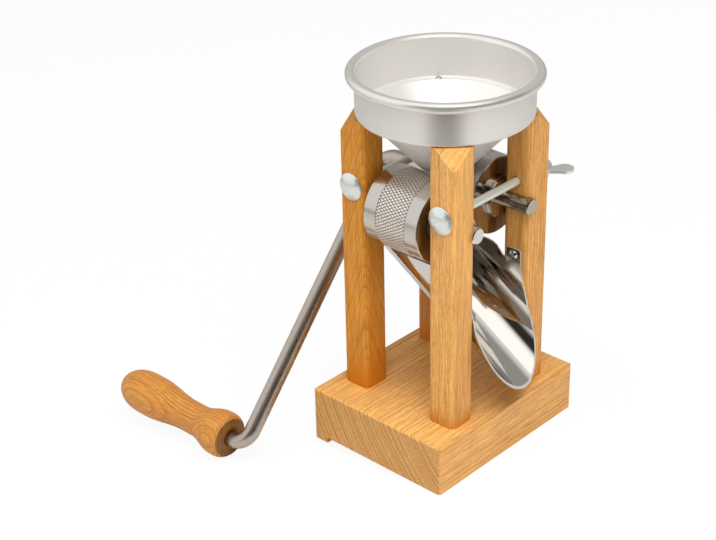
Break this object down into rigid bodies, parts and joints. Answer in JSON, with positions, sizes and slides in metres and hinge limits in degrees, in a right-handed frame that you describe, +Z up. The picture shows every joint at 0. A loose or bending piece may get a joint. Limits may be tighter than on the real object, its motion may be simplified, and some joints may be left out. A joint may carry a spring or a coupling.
{
  "type": "grain flaker",
  "caption": "Hand-cranked table-top grain flaker: knurled steel rollers between beech posts, a spun aluminium funnel above, a polished scoop chute below and a bent crank with a turned handle.",
  "frame": {"origin": "middle of the base board's flat underside, which rests on the table; the lip hangs below it along the -X edge", "axes": "+Z up along the posts, +X the way the flakes leave the chute, -X the side of the crank, +Y towards the wing nuts"},
  "size_m": [0.289, 0.2171, 0.2935],
  "materials": {
    "base_beech": "satin oiled, long grain along the board's length",
    "post_beech": "satin oiled, upright grain",
    "plain_screws": "zinc plated",
    "funnel_aluminium": "satin, spun",
    "small_screws": "nickel plated, bright",
    "chute_stainless": "mirror polished",
    "roller_steel": "polished ends and bands, knurled middle",
    "axle_steel": "ground, bright",
    "key_steel": "dull",
    "washer_steel": "turned, bright",
    "crank_steel": "brushed along the bar",
    "handle_beech": "satin oiled, turned",
    "zinc_steel": "bright zinc plated"
  },
  "bodies": {
    "frame": {"base_board": "base_beech", "front_left_post": "post_beech", "front_right_post": "post_beech", "rear_left_post": "post_beech", "rear_right_post": "post_beech", "post_screws": "plain_screws", "hopper": "funnel_aluminium", "hopper_screws": "small_screws", "chute": "chute_stainless", "chute_screws": "small_screws", "left_clamp_bolt": "zinc_steel", "right_clamp_bolt": "zinc_steel"},
    "crank": {"crank_bar": "crank_steel", "rear_roller": "roller_steel", "rear_key": "key_steel", "rear_washers": "washer_steel"},
    "idler": {"front_roller": "roller_steel", "front_axle": "axle_steel", "front_key": "key_steel", "front_washers": "washer_steel"},
    "grip": {"crank_handle": "handle_beech", "handle_pin": "key_steel"},
    "left_travel": {"left_nut_washer": "zinc_steel"},
    "left_nut": {"left_wing_nut": "zinc_steel"},
    "right_travel": {"right_nut_washer": "zinc_steel"},
    "right_nut": {"right_wing_nut": "zinc_steel"}
  },
  "joints": [
    {"name": "crank_turn", "type": "hinge", "parent": "frame", "child": "crank", "pos_m": [0, 0.0288, 0.1815], "axis": [1, 0, 0], "continuous": true},
    {"name": "front_roller_turn", "type": "hinge", "parent": "frame", "child": "idler", "pos_m": [0, -0.0288, 0.1815], "axis": [1, 0, 0], "continuous": true},
    {"name": "grip_spin", "type": "hinge", "parent": "crank", "child": "grip", "pos_m": [-0.15, -0.12483, 0.00288], "axis": [1, 0, 0], "continuous": true},
    {"name": "left_nut_travel", "type": "slide", "parent": "frame", "child": "left_travel", "axis": [0, 1, 0], "range_m": [0, 0.00405]},
    {"name": "left_nut_turn", "type": "hinge", "parent": "left_travel", "child": "left_nut", "pos_m": [-0.04, 0.0529, 0.197], "axis": [0, 1, 0], "range_deg": [0, 1440]},
    {"name": "right_nut_travel", "type": "slide", "parent": "frame", "child": "right_travel", "axis": [0, 1, 0], "range_m": [0, 0.00405]},
    {"name": "right_nut_turn", "type": "hinge", "parent": "right_travel", "child": "right_nut", "pos_m": [0.04, 0.0529, 0.197], "axis": [0, 1, 0], "range_deg": [0, 1440]}
  ],
  "couplings": [
    {"joint": "front_roller_turn", "follows": "crank_turn", "ratio": -1},
    {"joint": "left_nut_travel", "follows": "left_nut_turn", "m_per_rad": 0.00015915},
    {"joint": "right_nut_travel", "follows": "right_nut_turn", "m_per_rad": 0.00015915}
  ]
}
